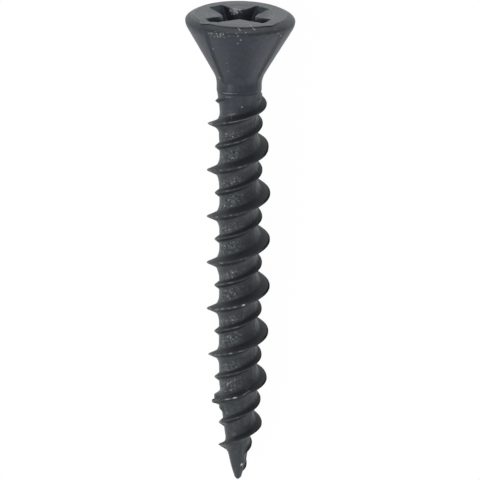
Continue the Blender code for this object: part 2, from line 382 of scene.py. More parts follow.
def recess_rings(head):
    """From the middle of the recess's floor up its walls to the mouth's rounded edge."""
    mouth = np.array([head.recess_span, head.wing_width, head.corner_span, CORNER_DROP])
    foot = np.array([FOOT_SPAN, FOOT_WIDTH, FOOT_CORNER, CORNER_DROP])
    rings = [flat_ring(star(*foot) * share * FLOOR_INSET,
                       head.recess_depth - (head.recess_depth - FOOT_DEPTH) * share)
             for share in FLOOR_SHARES]
    return rings + [flat_ring(star(*(foot + (mouth - foot) * share)), FOOT_DEPTH * (1 - share))
                    for share in WALL_SHARES]


def edge_rounding(head):
    """How far the mouth's edge is rounded in each column: most on the corners."""
    outline = star(head.recess_span, head.wing_width, head.corner_span, CORNER_DROP)
    radius = np.hypot(*outline.T)
    corner = smooth_step((CORNER_REACH - radius) / CORNER_FADE)
    return outline, radius, EDGE_ROUND + (CORNER_EDGE_ROUND - EDGE_ROUND) * corner


def face_rings(head):
    """The mouth's rounded edge, the dished corners and the flat face out to the lip."""
    outline, radius, round_off = edge_rounding(head)
    normal = outward(outline)
    sideways = np.abs(np.sin(np.arctan2(outline[:, 0], -outline[:, 1])))
    dish = smooth_step((DISH_RADIUS - radius) / DISH_FADE) * (
        DISH_DEPTH + (SIDE_DISH_DEPTH - DISH_DEPTH) * sideways)
    rings = []
    for angle in np.linspace(math.pi / 2, 0, EDGE_STEPS + 1):
        shift = round_off * (1 - math.sin(angle))
        depth = round_off * (1 - math.cos(angle)) + dish
        rings.append(flat_ring(outline + normal * shift[:, None], depth))
    inner = rings[-1][:, :2]
    inner_radius = np.hypot(*inner.T)
    face_radius = head.face_diameter / 2
    circle = ring(column_azimuths(), face_radius, 0.0)[:, :2]
    edge_radius = np.maximum(DISH_RADIUS, inner_radius + DISH_GAP)
    share = (edge_radius - inner_radius) / (face_radius - inner_radius)
    edge = inner + (circle - inner) * share[:, None]
    edge *= (edge_radius / np.hypot(*edge.T))[:, None]
    in_dish = smooth_step((DISH_RADIUS - inner_radius) / DISH_STEP_FADE)
    for share in np.linspace(0, 1, DISH_RINGS + 1)[1:]:
        depth = dish * (1 - share) + DISH_STEP * in_dish * share
        rings.append(flat_ring(inner + (edge - inner) * share, depth))
    start = FACE_START / (face_radius - DISH_RADIUS)
    for share in np.linspace(start, 1, FACE_RINGS):
        rings.append(flat_ring(edge + (circle - edge) * share, 0.0))
    return rings


def column_azimuths():
    """The columns' azimuths, once round."""
    return -2 * math.pi * np.arange(COLUMNS) / COLUMNS


def column_degrees():
    """The columns' azimuths in degrees, from -180 to 180."""
    azimuth = column_azimuths()
    return np.degrees(np.arctan2(np.sin(azimuth), np.cos(azimuth)))


def crown_rings(head):
    """The lip with the crease under it, and the rounded edge down to the widest ring."""
    face_radius = head.face_diameter / 2
    head_radius = head.head_diameter / 2
    azimuth, around = column_azimuths(), column_degrees()
    crisp = (smooth_step((around - LIP_LEFT) / LIP_FADE + 0.5)
             * smooth_step((LIP_RIGHT - around) / LIP_FADE + 0.5))
    # Strongest towards both ends of the lip, and strongest of all at the left one
    crease = crisp * (0.5 + 1.3 * smooth_step((-30 - around) / 25)
                      + 0.4 * smooth_step((around - 25) / 25))
    lip = head.lip_height * (0.25 + 0.75 * crisp)
    rings = []
    for out, down, cut in LIP_RINGS:
        rings.append(ring(azimuth, face_radius + out * MM - LIP_CREASE * cut * crease,
                          lip * down))
    for angle in np.linspace(CROWN_START, CROWN_END, CROWN_STEPS + 1)[2:]:
        out = (math.sin(angle) - math.sin(CROWN_START)) / (
            math.sin(CROWN_END) - math.sin(CROWN_START))
        down = (math.cos(CROWN_START) - math.cos(angle)) / (
            math.cos(CROWN_START) - math.cos(CROWN_END))
        rings.append(ring(azimuth, face_radius + (head_radius - face_radius) * out,
                          lip + (head.rim_depth - lip) * down))
    return rings


def cone_radius(depth, head):
    """The cone's radius, and that of the rounded edge between it and the widest ring."""
    head_radius = head.head_diameter / 2
    half = head.cone_angle / 2
    below = depth - head.rim_depth
    if below < RIM_ROUND * math.sin(half):
        return head_radius - RIM_ROUND + math.sqrt(RIM_ROUND ** 2 - below ** 2)
    edge = head_radius - RIM_ROUND * (1 - math.cos(half))
    return edge - (below - RIM_ROUND * math.sin(half)) * math.tan(half)


def cone_profile(head, neck_radius):
    """The cone under the rim and the fillet that takes it into the neck."""
    half = head.cone_angle / 2
    meeting = head.rim_depth + (cone_radius(head.rim_depth + RIM_ROUND, head)
                                - neck_radius) / math.tan(half) + RIM_ROUND
    lower = meeting + NECK_FILLET * math.tan(half / 2)
    upper = lower - NECK_FILLET * math.sin(half)
    depths = [head.rim_depth + below * MM for below in RIM_RINGS]
    depths += [POCKET_START + below * MM for below in POCKET_RINGS]
    depths += list(np.linspace(depths[-1], upper, CONE_STEPS + 1)[1:])
    points = [(cone_radius(depth, head), depth, 1.0) for depth in depths]
    for fade in np.linspace(1, 0, FILLET_STEPS + 1)[1:]:
        angle = half * fade
        radius = neck_radius + NECK_FILLET * (1 - math.cos(angle))
        points.append((radius, lower - NECK_FILLET * math.sin(angle), fade))
    return points


def cone_ring(radius, depth, fade, pocket_depth):
    """A ring of the cone, whose columns close up at the pockets' walls."""
    below = depth - POCKET_START
    spread = float(smooth_step(below / (0.1 * MM) + 1.0)) * min(1.0, fade * 2)
    left = POCKET_LEFT[0] + (POCKET_LEFT[1] - POCKET_LEFT[0]) * below / POCKET_LENGTH
    keys = [0, 20, 40, 42.5, 70, 110, 127.5, 132.5, 155]
    places = [0, 20, left - LEFT_WALL / 2, left + LEFT_WALL / 2, 70, 110,
              POCKET_RIGHT - RIGHT_WALL / 2, POCKET_RIGHT + RIGHT_WALL / 2, 155]
    sunk = [1, 1, 1, 0, 0, 0, 0, 1, 1]
    uniform = np.arange(COLUMNS) * 360 / COLUMNS
    keys = keys + [key + 180 for key in keys] + [360]
    places = places + [place + 180 for place in places] + [360]
    sunk = sunk * 2 + [1]
    warped = np.interp(uniform, keys, places)
    azimuth = uniform + (warped - uniform) * spread
    share = smooth_step(np.interp(uniform, keys, sunk))
    start = float(smooth_step((below + 0.03 * MM) / (0.08 * MM)))
    sink = pocket_depth * share * start * fade
    return ring(np.radians(-azimuth), radius - sink, depth)


def core_radius(depth, shank):
    """The core without its threads, from the neck to the point."""
    neck, root = shank.neck_diameter / 2, shank.root_diameter / 2
    share = np.clip((depth - NECK_END) / SHOULDER_LENGTH, 0.0, 1.0)
    radius = neck - (neck - root) * np.sin(share * math.pi / 2)
    from_point = np.clip(shank.length - depth, 0.0, None)
    taper = root * (from_point / shank.point_length) ** POINT_POWER
    return np.where(from_point < shank.point_length, taper, radius)


def crest_offset(azimuth, depth, thread, shank):
    """Depth below the nearest crest of a thread."""
    lag = (thread["Crest Azimuth"] - azimuth) / (2 * math.pi)
    past = (depth - shank.thread_start) / shank.lead - lag
    turns = lag + np.round(past)
    sag = thread["Sag"] * (1 - smooth_step(turns / SAG_TURNS))
    return depth - shank.thread_start - shank.lead * turns - sag


def shank_rings(shank):
    """Rings of the core, each point moved to the nearest line that runs beside a crest."""
    step = shank.lead / ROWS_PER_LEAD
    first, last = NECK_CREASE + 0.12 * MM, shank.length - 0.45 * MM
    azimuth = column_azimuths()
    rings = []
    for i in range(int((last - first) / step)):
        depth = first + step * i
        high = crest_offset(azimuth, depth, HIGH, shank)
        low = crest_offset(azimuth, depth, LOW, shank)
        nearest = np.where(np.abs(low) < np.abs(high), low, high)
        shift = nearest - (np.floor(nearest / step) + 0.5) * step
        fade = smooth_step((depth - first) / (0.2 * MM)) * smooth_step((last - depth) / (0.3 * MM))
        snapped = depth - shift * fade
        rings.append(ring(azimuth, core_radius(snapped, shank), snapped))
    for gap in TIP_RINGS:
        depth = shank.length - gap * MM
        rings.append(ring(azimuth, core_radius(np.array(depth), shank), depth))
    return rings


def neck_rings(shank, start):
    """The plain neck, with the faint step that the rolling dies leave at its end."""
    azimuth, around = column_azimuths(), column_degrees()
    strength = smooth_step((around + 55) / 15) * (
        0.4 * smooth_step((60 - around) / 15) + 0.6 * smooth_step((8 - around) / 15))
    lower = 0.06 * MM * smooth_step((-10 - around) / 30) * smooth_step((90 + around) / 30)
    plain = np.linspace(start, NECK_CREASE - 0.19 * MM, 5)[1:4]
    rings = [ring(azimuth, shank.neck_diameter / 2, depth) for depth in plain]
    for gap, height in CREASE_RINGS:
        rings.append(ring(azimuth, shank.neck_diameter / 2 + height * MM * strength,
                          NECK_CREASE - gap * MM + lower))
    return rings


def blank_mesh(head, shank):
    """The headed and pointed blank before its threads are rolled, as one closed mesh."""
    rings = recess_rings(head)
    # How worn the coat on each ring is; on the mouth's edge, the lip and the rim this is partly a
    # painted highlight
    wear_and_highlight = [0.0] * len(rings)
    rings += face_rings(head)
    wear_and_highlight += MOUTH_WEAR_AND_HIGHLIGHT + [0.0] * 5 + [0.5] + [0.0] * 5 + [0.8]
    rings += crown_rings(head)
    wear_and_highlight += [1.0, 0.3] + [0.0] * (len(rings) - len(wear_and_highlight) - 4) + [0.3, 0.5]
    cone = cone_profile(head, shank.neck_diameter / 2)
    rings += [cone_ring(radius, depth, fade, head.pocket_depth) for radius, depth, fade in cone]
    rings += neck_rings(shank, cone[-1][1])
    turned = len(rings)
    rings += shank_rings(shank)
    points = np.concatenate(rings + [[[0, 0, -head.recess_depth]], [[0, 0, -shank.length]]])
    floor, tip = len(points) - 2, len(points) - 1
    faces = []
    for i in range(len(rings) - 1):
        for j in range(COLUMNS):
            k = (j + 1) % COLUMNS
            a, b = i * COLUMNS + j, (i + 1) * COLUMNS + j
            c, d = (i + 1) * COLUMNS + k, i * COLUMNS + k
            if i < turned:
                faces.append((a, d, c, b))
            else:
                faces += [(a, d, c), (a, c, b)]
    last = (len(rings) - 1) * COLUMNS
    for j in range(COLUMNS):
        k = (j + 1) % COLUMNS
        faces.append((floor, k, j))
        faces.append((tip, last + j, last + k))
    mesh = bpy.data.meshes.new("screw_blank")
    mesh.from_pydata(points.tolist(), [], faces)
    wear_and_highlight += [0.5, 0.3] + [0.0] * (len(rings) - len(wear_and_highlight) - 2)
    worn_and_highlight = mesh.attributes.new("worn_and_highlight", "FLOAT", "POINT")
    worn_and_highlight.data.foreach_set("value", np.append(np.repeat(wear_and_highlight, COLUMNS), [0.0, 0.0]))
    mesh.validate()
    return mesh


# Thread rolling in geometry nodes

# What one thread's ridge needs beside the lead and the start
THREAD_INPUTS = ("Crest Azimuth", "Sag", "Height", "Slope", "Rise", "Run", "Run In", "End",
                 "Run Out", "Growth", "Thin From", "Thin Length", "Thin Share")
RIDGE_INPUTS = ("Depth", "Azimuth", "Lead", "Start") + THREAD_INPUTS
RIDGE_OUTPUTS = {"Ridge": "ridge", "Relief": "relief", "Offset": "offset"}
RIDGE_STEPS = (
    # Where the nearest crest is, and how many turns along its thread
    ("lag", "SUBTRACT", "Crest Azimuth", "Azimuth"),
    ("lag_turns", "DIVIDE", "lag", 2 * math.pi),
    ("line", "MULTIPLY_ADD", "lag_turns", "Lead", "Start"),
    ("past", "SUBTRACT", "Depth", "line"),
    ("past_turns", "DIVIDE", "past", "Lead"),
    ("count", "ROUND", "past_turns"),
    ("crest", "MULTIPLY_ADD", "count", "Lead", "line"),
    ("begun", "SUBTRACT", "crest", "Start"),
    ("begun_turns", "DIVIDE", "begun", "Lead"),
    ("sag_left", "FADE", "begun_turns", 0.0, SAG_TURNS, 1.0, 0.0),
    ("sag_depth", "MULTIPLY_ADD", "Sag", "sag_left", "crest"),
    ("offset", "SUBTRACT", "Depth", "sag_depth"),
    ("aside", "ABSOLUTE", "offset"),
    # How much of the full ridge is there: it runs in, gets thinner and runs out
    ("run_in", "DIVIDE+", "begun_turns", "Run In"),
    ("grown", "POWER", "run_in", "Growth"),
    ("to_thin", "SUBTRACT", "crest", "Thin From"),
    ("lost", "FADE", "to_thin", 0.0, "Thin Length", 0.0, "Thin Share"),
    ("kept", "SUBTRACT", 1.0, "lost"),
    ("left", "SUBTRACT", "End", "crest"),
    ("left_share", "DIVIDE+", "left", "Run Out"),
    ("ended", "SQRT", "left_share"),
    ("grown_kept", "MULTIPLY", "grown", "kept"),
    ("share", "MULTIPLY", "grown_kept", "ended"),
    ("safe_share", "MAXIMUM", "share", 0.02),
    # Its section: a narrow land, two straight flanks and a foot that rises to them
    ("reach", "DIVIDE", "aside", "safe_share"),
    ("over_land", "SUBTRACT", "reach", CREST_LAND / 2),
    ("past_land", "MAXIMUM", "over_land", 0.0),
    ("fall", "MULTIPLY", "past_land", "Slope"),
    ("flank", "SUBTRACT", "Height", "fall"),
    ("flank_bite", "ADD", "flank", ROOT_BITE),
    ("flank_sized", "MULTIPLY", "flank_bite", "safe_share"),
    ("flank_height", "SUBTRACT", "flank_sized", ROOT_BITE),
    ("stand", "SUBTRACT", "Height", "Rise"),
    ("flank_run", "DIVIDE", "stand", "Slope"),
    ("past_flank", "SUBTRACT", "past_land", "flank_run"),
    ("foot_run", "DIVIDE", "past_flank", "Run"),
    ("foot_left", "SUBTRACT", 1.0, "foot_run"),
    ("foot_part", "MAXIMUM", "foot_left", 0.0),
    ("foot_square", "MULTIPLY", "foot_part", "foot_part"),
    ("foot_rise", "MULTIPLY", "foot_square", "Rise"),
    ("foot_sized", "MULTIPLY", "foot_rise", "share"),
    ("ridge", "SMOOTH_MAX", "flank_height", "foot_sized", 0.08 * MM),
    ("top", "MULTIPLY", "Height", "share"),
    ("safe_top", "MAXIMUM", "top", 0.01 * MM),
    ("relief", "DIVIDE", "ridge", "safe_top"),
)

PLACE_STEPS = (
    ("flat_place", "VECTOR MULTIPLY", "place", (1.0, 1.0, 0.0)),
    ("radius", "VECTOR LENGTH", "flat_place"),
    ("front", "MULTIPLY", "y", -1.0),
)
ROUND_STEPS = (
    ("azimuth", "ARCTAN2", "x", "front"),
    ("depth", "MULTIPLY", "z", -1.0),
)
ROLL_STEPS = (
    ("rolled", "RAMP", "depth", NECK_CREASE + 0.02 * MM, NECK_CREASE + 0.14 * MM),
    ("both", "SMOOTH_MAX", "high_ridge", "low_ridge", 0.05 * MM),
    ("relief", "MAXIMUM", "high_relief", "low_relief"),
    # Long waves along the crests
    ("wave", "SEEDED NOISE", "place", "Seed", 900.0, 1.0),
    ("wave_mid", "SUBTRACT", "wave", 0.5),
    ("wave_push", "MULTIPLY", "wave_mid", "Waviness"),
    ("waved", "MULTIPLY_ADD", "wave_push", "relief", "both"),
    # Streaks that are drawn along the roots on the right
    ("drawn", "VECTOR MULTIPLY", "place", (1.0, 1.0, 0.22)),
    ("streak", "SEEDED NOISE", "drawn", "Seed", 5200.0, 1.0),
    ("streak_mid", "SUBTRACT", "streak", 0.5),
    ("streak_push", "MULTIPLY", "streak_mid", "Crinkle"),
    ("side_turn", "ADD", "azimuth", math.radians(-66)),
    ("side", "COSINE+", "side_turn"),
    ("side_narrow", "POWER", "side", 12.0),
    ("valley", "SUBTRACT", 1.0, "relief"),
    ("side_valley", "MULTIPLY", "side_narrow", "valley"),
    ("streaked", "MULTIPLY_ADD", "streak_push", "side_valley", "waved"),
    # Short folds in the roots on the front, above each flank, faint near the neck and the point
    ("below_high", "FADE", "high_offset", -1.25 * MM, -1.00 * MM),
    ("off_high", "FADE", "high_offset", -0.30 * MM, -0.45 * MM),
    ("above_high", "MULTIPLY", "below_high", "off_high"),
    ("below_low", "FADE", "low_offset", -0.85 * MM, -0.60 * MM),
    ("off_low", "FADE", "low_offset", -0.18 * MM, -0.33 * MM),
    ("above_low", "MULTIPLY", "below_low", "off_low"),
    ("above", "ADD", "above_high", "above_low"),
    ("turn", "ADD", "azimuth", math.radians(26)),
    ("facing", "COSINE+", "turn"),
    ("facing_narrow", "POWER", "facing", 5.0),
    ("below_neck", "RAMP", "depth", 5.78 * MM, 6.80 * MM, 0.15, 1.0),
    ("before_point", "RAMP", "depth", 24.4 * MM, 24.995 * MM, 1.0, 0.15),
    ("in_reach", "MULTIPLY", "below_neck", "before_point"),
    ("facing_there", "MULTIPLY", "facing_narrow", "in_reach"),
    ("patch", "MULTIPLY", "above", "facing_there"),
    ("fold", "SEEDED NOISE", "place", "Seed", 3800.0, 2.0, 0.6),
    ("fold_mid", "SUBTRACT", "fold", 0.5),
    ("fold_push", "MULTIPLY", "fold_mid", "Crinkle"),
    ("folded", "MULTIPLY_ADD", "fold_push", "patch", "streaked"),
    # All of it pushes the surface out from the axis, below the neck's crease
    ("push", "MULTIPLY", "folded", "rolled"),
    ("safe_radius", "MAXIMUM", "radius", 0.001 * MM),
    ("push_share", "DIVIDE", "push", "safe_radius"),
    ("outward_push", "SCALE", "flat_place", "push_share"),
    # The relief of the rolled threads, which the coat uses for crest wear, painted highlights and
    # painted shade
    ("rolled_relief", "MULTIPLY", "relief", "rolled"),
    ("crinkled", "MULTIPLY", "patch", "rolled"),
)


def placed_values(tree, place):
    """A place, its coordinates and its distance from the axis, for later steps to start from."""
    value = {"place": place}
    value.update(zip("xyz", add_node(tree, "ShaderNodeSeparateXYZ", [place]).outputs))
    add_steps(tree, PLACE_STEPS, value)
    return value


def rolling_tree(material):
    """Rolls both threads into the blank and marks where its coat is worn or crinkled."""
    tree = bpy.data.node_groups.new("thread_rolling", "GeometryNodeTree")
    tree.interface.new_socket("Blank", in_out="INPUT", socket_type="NodeSocketGeometry")
    shared = ("Lead", "Start", "Waviness", "Crinkle", "Seed")
    own = [thread + name for thread in ("High ", "Low ") for name in THREAD_INPUTS]
    for name in (*shared, *own):
        tree.interface.new_socket(name, in_out="INPUT", socket_type="NodeSocketFloat")
    tree.interface.new_socket("Screw", in_out="OUTPUT", socket_type="NodeSocketGeometry")
    given = add_node(tree, "NodeGroupInput").outputs

    value = placed_values(tree, add_node(tree, "GeometryNodeInputPosition"))
    value.update({name: given[name] for name in shared})
    add_steps(tree, ROUND_STEPS, value)
    group = step_group("thread_ridge", "GeometryNodeTree", dict.fromkeys(RIDGE_INPUTS, "Float"),
                       RIDGE_STEPS, RIDGE_OUTPUTS)
    for thread in ("High", "Low"):
        wires = {"Depth": value["depth"], "Azimuth": value["azimuth"], "Lead": given["Lead"],
                 "Start": given["Start"]}
        wires.update({name: given[thread + " " + name] for name in THREAD_INPUTS})
        ridge = add_node(tree, "GeometryNodeGroup", wires, node_tree=group)
        for title, name in RIDGE_OUTPUTS.items():
            value[thread.lower() + "_" + name] = ridge.outputs[title]
    add_steps(tree, ROLL_STEPS, value)

    result = add_node(tree, "GeometryNodeSetPosition",
                      {"Geometry": given["Blank"], "Offset": value["outward_push"]})
    for name, source in (("relief", "rolled_relief"), ("crinkled", "crinkled")):
        result = add_node(tree, "GeometryNodeStoreNamedAttribute",
                          {"Geometry": result, "Name": name, "Value": value[source]},
                          data_type="FLOAT", domain="POINT")
    real = add_node(tree, "GeometryNodeRealizeInstances", [result])
    coated = add_node(tree, "GeometryNodeSetMaterial", {"Geometry": real, "Material": material})
    add_node(tree, "NodeGroupOutput", {"Screw": coated})
    return tree


# Dents and swellings of the rolled surface: azimuth in degrees, then in mm the depth, how far it
# reaches round and along the screw, and how far it pushes out and down
SWELLINGS = (
    (-50, 0.03, 0.32, 0.10, 0.27, 0.04),  # the lip's ends, which are pushed out and down
    (41, 0.03, 0.35, 0.10, 0.12, 0.02),
    (-90, 7.18, 0.9, 0.20, 0.10, 0.0),
    (-95, 6.97, 0.7, 0.15, 0.05, 0.0),
    (-88, 7.75, 0.7, 0.40, 0.05, 0.0),
    (-90, 10.7, 0.7, 0.40, 0.04, 0.0),
    (-90, 16.5, 0.6, 0.25, 0.04, 0.0),
    (90, 8.55, 1.0, 0.35, -0.07, 0.0),
    (90, 5.14, 0.6, 0.14, 0.12, 0.0),
    (85, 23.7, 0.9, 0.30, 0.05, 0.0),
    (85, 26.6, 0.8, 0.50, 0.05, 0.0),
    # the chipped crest near the point: a thick stump, a drawn-down sliver, and a nicked root
    (-80, 24.62, 0.8, 0.20, 0.50, 0.0),
    (-90, 24.76, 0.9, 0.20, 0.0, 0.11),
    (-74, 24.98, 0.45, 0.10, 0.20, 0.0),
    (-80, 25.34, 0.5, 0.18, 0.15, 0.0),
    (-56, 25.34, 0.10, 0.28, -0.07, 0.0),
    (-90, 27.85, 0.8, 0.25, 0.0, -0.06),
    (88, 28.78, 0.4, 0.12, 0.035, 0.0),
    (88, 29.08, 0.4, 0.13, -0.04, 0.0),
    (0, 29.82, 1.0, 0.14, 0.03, 0.0),
    (-90, 24.10, 0.5, 0.20, -0.04, 0.0),
)
# Where a crest is broken off: azimuths in degrees from and to, then in mm the depths from and to
# and the radius that is left
CHIPS = (
    (-128, -44, 24.25, 24.90, 1.49),
    (-128, -55, 24.90, 25.05, 1.64),
)
# Depths along the screw, how far it is bent towards +X there and how far it is drawn out, in mm
BENDS = ((0.0, 0.063, -0.035), (3.0, 0.038, -0.035), (5.0, 0.005, -0.015),
         (7.0, 0.0, 0.0), (21.5, 0.0, 0.0),
         (24.5, 0.04, 0.0), (26.5, 0.035, 0.0), (28.5, 0.02, 0.02), (30.0, 0.045, 0.09))
HEAD_LEAN = 0.0133  # slope of the head, which sits a little askew on its neck
WAVINESS = 0.06 * MM  # how far rolling pushes the waves of the crests
CRINKLE = 0.12 * MM  # and the folds and streaks of the roots
SEED = 4.0


def shape_up(mesh):
    """Swells, dents and bends the rolled screw a little, as rolling and use leave it."""
    x, y, z = mesh_points(mesh).astype(float).T
    radius, azimuth, depth = np.hypot(x, y), np.degrees(np.arctan2(x, -y)), -z
    out, down = np.zeros_like(x), np.zeros_like(x)
    for middle, below, reach, height, push, drop in SWELLINGS:
        round_it = np.radians((azimuth - middle + 180) % 360 - 180) * radius / (reach * MM)
        along = (depth - below * MM) / (height * MM)
        share = np.exp(-round_it ** 2 - along ** 2)
        out += push * MM * share
        down += drop * MM * share
    grown = 1 + out / np.maximum(radius, 0.1 * MM)
    for start, end, top, bottom, left in CHIPS:
        broken = smooth_step((azimuth - start) / 5) * smooth_step((end - azimuth) / 5)
        broken = np.where((depth + down > top * MM) & (depth + down < bottom * MM), broken, 0.0)
        cut = np.minimum(grown, left * MM / np.maximum(radius, 0.1 * MM))
        grown += (cut - grown) * broken
    depths, bends, stretches = np.array(BENDS).T * MM
    near = [depth + shift * MM for shift in (-0.8, -0.4, 0.0, 0.4, 0.8)]
    bend = sum(np.interp(place, depths, bends) for place in near) / len(near)
    down += sum(np.interp(place, depths, stretches) for place in near) / len(near)
    down += HEAD_LEAN * x * smooth_step((3.5 * MM - depth) / (2.5 * MM))
    x, y, z = x * grown + bend, y * grown, z - down
    mesh.vertices.foreach_set("co", np.column_stack([x, y, z]).astype(np.float32).ravel())
    mesh.update()


def rolled_mesh(blank, tree, values):
    """The blank with the rolling tree carried out, as a plain mesh."""
    body = link_object("screw_blank", blank)
    rolling = body.modifiers.new("thread rolling", "NODES")
    rolling.node_group = tree
    for item in tree.interface.items_tree:
        if item.in_out == "INPUT" and item.name in values:
            rolling[item.identifier] = values[item.name]
    graph = bpy.context.evaluated_depsgraph_get()
    mesh = bpy.data.meshes.new_from_object(body.evaluated_get(graph))
    body.modifiers.remove(rolling)
    bpy.data.objects.remove(body)
    return mesh


def rolling_values(shank):
    """The rolling tree's inputs, from the settings."""
    values = {"Lead": shank.lead, "Start": shank.thread_start, "Waviness": WAVINESS,
              "Crinkle": CRINKLE, "Seed": SEED}
    for thread, fixed, diameter, angle, end_gap in (
            ("High ", HIGH, shank.high_diameter, shank.high_angle, HIGH_END_GAP),
            ("Low ", LOW, shank.low_diameter, shank.low_angle, LOW_END_GAP)):
        sizes = {**fixed, "Height": (diameter - shank.root_diameter) / 2,
                 "Slope": 1 / math.tan(angle / 2), "End": shank.length - end_gap,
                 "Thin From": shank.length - THIN_START_GAP,
                 "Thin Length": THIN_START_GAP - THIN_END_GAP}
        values.update({thread + name: size for name, size in sizes.items()})
    return values


# The coat

# Scratches, nicks and specks that show the steel, and painted highlights: from and to, each as an
# azimuth in degrees, a distance from the axis and a depth below the face in mm, then the width in
# mm and the strength.
# A speck has one place only. Each end is taken to the nearest point of the surface.
MARKS_AND_HIGHLIGHTS = (
    (-0.9, 2.88, 0.04, 1.6, 3.07, 0.17, 0.034, 0.75),  # scratches across the lip
    (16.5, 2.33, 0.0, 17.2, 2.85, 0.0, 0.038, 0.6),
    (17.0, 2.84, 0.02, 17.8, 3.08, 0.12, 0.036, 0.8),
    # a light line along the face's front left edge: a burr with a painted highlight
    (-45.5, 2.28, 0.0, -25.0, 2.29, 0.0, 0.04, 0.15),
    (42.0, 3.25, 0.20, 43.9, 3.4, 0.47, 0.035, 0.30),  # a faint one over the rim's right side
    (43.9, 3.4, 0.47, 46.5, 3.4, 0.56, 0.035, 0.35),
    (50.9, 3.24, 0.78, 0.06, 0.5),  # specks on the rim and the cone
    (7.3, 3.24, 0.19, 0.06, 0.38),
    (-4.5, 3.27, 0.21, -2.5, 3.3, 0.25, 0.035, 0.25),
    (-1.2, 3.36, 0.37, 0.06, 0.5),
    (1.5, 3.16, 0.72, 0.07, 0.42),
    (-1.3, 3.02, 0.95, 0.06, 0.48),
    (-37.0, 2.6, 1.62, 0.065, 0.45),
    (-20.8, 2.1, 2.44, -20.0, 2.1, 2.56, 0.045, 0.28),
    (-22.2, 1.78, 3.07, 0.05, 0.28),
    (-54.0, 1.52, 3.72, -50.0, 1.5, 3.78, 0.05, 0.35),
    (-25.7, 1.37, 4.18, -25.7, 1.37, 4.22, 0.045, 0.14),
    (-44.0, 1.42, 4.695, -32.0, 1.42, 4.68, 0.04, 0.30),  # the ridge over the neck's crease: a painted highlight
    (-32.0, 1.42, 4.68, -19.0, 1.42, 4.65, 0.04, 0.35),
    (-19.0, 1.42, 4.65, -5.0, 1.42, 4.635, 0.035, 0.20),
    (8.8, 1.25, 5.53, 0.065, 0.55),
    (-36.0, 1.3, 4.90, -22.0, 1.3, 4.89, 0.04, 0.22),  # faint lines below the neck
    (-48.0, 1.2, 6.27, -28.0, 1.2, 6.10, 0.04, 0.14),
    (-24.0, 1.2, 6.07, -11.0, 1.2, 5.98, 0.04, 0.26),
    (-21.0, 1.35, 6.08, -15.0, 1.85, 6.50, 0.035, 0.14),
    (-6.0, 1.9, 6.19, 14.0, 1.9, 6.03, 0.04, 0.20),  # the land of the first high turn: worn coat and a painted highlight
    (14.0, 1.9, 6.03, 35.0, 1.9, 5.80, 0.04, 0.22),
    (35.0, 1.9, 5.80, 47.0, 1.9, 5.67, 0.04, 0.26),
    (18.0, 1.6, 23.45, 35.0, 1.6, 23.28, 0.04, 0.12),  # lines on the turn near the point
    (35.0, 1.6, 23.28, 51.0, 1.65, 23.06, 0.04, 0.14),
    (12.0, 1.7, 23.98, 27.0, 1.6, 23.80, 0.06, 0.22),
    (-73.0, 1.9, 6.62, -68.0, 1.9, 6.64, 0.06, 0.5),  # bits on the crests: steel showing through, and painted glints
    (9.1, 1.95, 18.06, 11.0, 1.95, 18.04, 0.075, 1.0),
    (-16.1, 1.86, 21.27, -12.0, 1.86, 21.24, 0.05, 0.45),
    (-8.0, 1.72, 24.16, -4.0, 1.72, 24.12, 0.08, 0.8),
    (-26.0, 1.72, 24.30, -18.0, 1.72, 24.24, 0.05, 0.45),
    (-50.0, 1.05, 25.20, -39.0, 1.02, 25.55, 0.035, 0.45),  # beside the nick near the point
    (36.0, 0.45, 29.0, 0.11, 1.0),
    (52.0, 0.62, 28.3, 50.0, 0.42, 29.2, 0.035, 0.3),
    (-88.0, 1.30, 27.72, -60.0, 0.95, 27.82, 0.15, 0.34),  # painted highlights on the undersides of the last crests
    (-75.0, 1.30, 26.22, -50.0, 1.05, 26.36, 0.12, 0.28),
    (-85.0, 1.60, 24.90, -66.0, 1.30, 25.02, 0.10, 0.50),
    (-158.0, 1.45, 0.16, -172.0, 1.08, 0.20, 0.15, 0.50),  # a painted highlight on the recess's back corner
    (-168.0, 1.09, 0.10, -172.0, 1.05, 0.20, 0.14, 0.80),
)
# Patches of small bright bits, given in the same way: worn coat on the rim, and painted glints in
# the recess
RUBBED_AND_GLINT_PATCHES = (
    (-34.0, 3.3, 0.54, -14.0, 3.35, 0.44, 0.28, 0.52),
    (-160.0, 1.36, 0.20, -176.0, 1.08, 0.15, 0.26, 3.0),  # painted glints in the recess, on its back corner
)
MARK_EDGE = 0.5  # how much of a mark's width is its soft edge
MARK_INPUTS = {"Place": "Vector", "From": "Vector", "To": "Vector", "Width": "Float",
               "Strength": "Float"}
# How strongly a place lies in one mark, which runs straight between two others
MARK_STEPS = (
    ("from_start", "VECTOR SUBTRACT", "Place", "From"),
    ("whole", "VECTOR SUBTRACT", "To", "From"),
    ("along", "VECTOR DOT_PRODUCT", "from_start", "whole"),
    ("square", "VECTOR DOT_PRODUCT", "whole", "whole"),
    ("share", "DIVIDE+", "along", "square"),
    ("reach", "SCALE", "whole", "share"),
    ("nearest", "VECTOR ADD", "From", "reach"),
    ("gap", "VECTOR DISTANCE", "Place", "nearest"),
    ("inner", "MULTIPLY", "Width", MARK_EDGE),
    ("mark", "FADE", "gap", "Width", "inner", 0.0, "Strength"),
)


def placed_marks(mesh, marks_and_highlights):
    """Marks with both ends moved to the nearest point of the finished surface, in mm."""
    points = mesh_points(mesh)
    placed = []
    for *ends, width, strength in marks_and_highlights:
        found = []
        for azimuth, radius, depth in (ends[:3], ends[-3:]):
            wanted = ring(math.radians(azimuth), radius * MM, depth * MM)[0]
            gap = np.linalg.norm(points - wanted, axis=1)
            near = np.argsort(gap)[:4]
            share = 1 / (gap[near] + 0.01 * MM)
            found.append(points[near].T @ share / share.sum() / MM)
        placed.append((*found, width, strength))
    return placed


